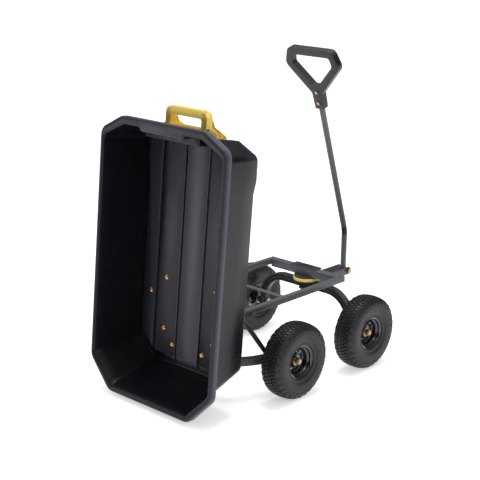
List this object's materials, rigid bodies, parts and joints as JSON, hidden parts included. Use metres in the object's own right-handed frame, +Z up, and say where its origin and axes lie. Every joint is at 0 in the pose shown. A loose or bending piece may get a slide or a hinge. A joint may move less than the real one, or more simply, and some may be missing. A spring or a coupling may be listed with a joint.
{
  "type": "garden cart",
  "caption": "Four-wheeled garden dump cart with a tipping plastic tub, a steering front axle, pneumatic tyres and a pulling handle with a D-grip.",
  "frame": {"origin": "on the ground under the middle of the rear axle", "axes": "+X forward to the pulling handle, +Y to the cart's left, +Z up"},
  "size_m": [1.0116, 0.62, 1.097],
  "materials": {
    "frame_paint": "satin black powder coat",
    "tongue_paint": "satin grey paint",
    "rim_paint": "gloss black enamel",
    "zinc_plate": "yellow zinc plate",
    "bolt_steel": "bright zinc plate",
    "hub_steel": "machined steel",
    "tyre_rubber": "matt rubber",
    "tube_rubber": "matt butyl rubber",
    "tub_plastic": "satin moulded polyethylene",
    "grip_plastic": "satin nylon",
    "yellow_plastic": "satin nylon"
  },
  "bodies": {
    "chassis": {"frame_rail_left": "frame_paint", "frame_rail_right": "frame_paint", "front_crossbar": "frame_paint", "mid_brace": "frame_paint", "rear_crossbar": "frame_paint", "pivot_plate": "frame_paint", "latch_plate": "frame_paint", "hinge_ear_left": "frame_paint", "hinge_ear_right": "frame_paint", "rear_axle_hoop": "frame_paint", "axle_strut_left": "frame_paint", "axle_strut_right": "frame_paint", "rear_axle_pins": "zinc_plate", "rear_axle_nuts": "zinc_plate", "frame_bolts": "bolt_steel", "kingpin": "zinc_plate", "kingpin_nut": "frame_paint", "hinge_pins": "bolt_steel"},
    "front_axle": {"front_axle_arch": "frame_paint", "kingpin_bush": "grip_plastic", "steering_disc": "yellow_plastic", "tongue": "tongue_paint", "front_axle_pins": "zinc_plate", "front_axle_nuts": "zinc_plate", "handle_pivot_bolt": "zinc_plate"},
    "pull_handle": {"handle_tube": "frame_paint", "handle_pivot_sleeve": "frame_paint", "handle_grip": "grip_plastic", "grip_bolts": "zinc_plate"},
    "bed": {"bed_tub": "tub_plastic", "bed_bracket_left": "frame_paint", "bed_bracket_right": "frame_paint", "bed_bolts": "zinc_plate", "release_bracket": "frame_paint", "wall_bolts": "zinc_plate", "release_pin": "zinc_plate"},
    "release_lever": {"release_handle": "yellow_plastic", "latch_hook": "bolt_steel", "release_spring": "bolt_steel"},
    "wheel_front_left": {"tyre_front_left": "tyre_rubber", "inner_tube_front_left": "tube_rubber", "rim_front_left": "rim_paint", "rim_bolts_front_left": "bolt_steel", "hub_front_left": "hub_steel"},
    "wheel_front_right": {"tyre_front_right": "tyre_rubber", "inner_tube_front_right": "tube_rubber", "rim_front_right": "rim_paint", "rim_bolts_front_right": "bolt_steel", "hub_front_right": "hub_steel"},
    "wheel_rear_left": {"tyre_rear_left": "tyre_rubber", "inner_tube_rear_left": "tube_rubber", "rim_rear_left": "rim_paint", "rim_bolts_rear_left": "bolt_steel", "hub_rear_left": "hub_steel"},
    "wheel_rear_right": {"tyre_rear_right": "tyre_rubber", "inner_tube_rear_right": "tube_rubber", "rim_rear_right": "rim_paint", "rim_bolts_rear_right": "bolt_steel", "hub_rear_right": "hub_steel"}
  },
  "joints": [
    {"name": "steering", "type": "hinge", "parent": "chassis", "child": "front_axle", "pos_m": [0.369, 0, 0.26], "axis": [0, 0, 1], "range_deg": [-20, 20]},
    {"name": "handle_pitch", "type": "hinge", "parent": "front_axle", "child": "pull_handle", "pos_m": [0.577, 0, 0.25], "axis": [0, 1, 0], "range_deg": [0, 105]},
    {"name": "bed_tip", "type": "hinge", "parent": "chassis", "child": "bed", "pos_m": [-0.1893, 0, 0.297], "axis": [0, 1, 0], "range_deg": [0, 84.25]},
    {"name": "release_pull", "type": "hinge", "parent": "bed", "child": "release_lever", "pos_m": [-0.21694, 0, 0.90081], "axis": [0, -1, 0], "range_deg": [0, 20], "stiffness_Nm_per_rad": 1.5, "springref_deg": -17.19},
    {"name": "wheel_spin_front_left", "type": "hinge", "parent": "front_axle", "child": "wheel_front_left", "pos_m": [0.369, 0.2675, 0.13], "axis": [0, 1, 0], "continuous": true},
    {"name": "wheel_spin_front_right", "type": "hinge", "parent": "front_axle", "child": "wheel_front_right", "pos_m": [0.369, -0.2675, 0.13], "axis": [0, 1, 0], "continuous": true},
    {"name": "wheel_spin_rear_left", "type": "hinge", "parent": "chassis", "child": "wheel_rear_left", "pos_m": [0, 0.2675, 0.13], "axis": [0, 1, 0], "continuous": true},
    {"name": "wheel_spin_rear_right", "type": "hinge", "parent": "chassis", "child": "wheel_rear_right", "pos_m": [0, -0.2675, 0.13], "axis": [0, 1, 0], "continuous": true}
  ]
}
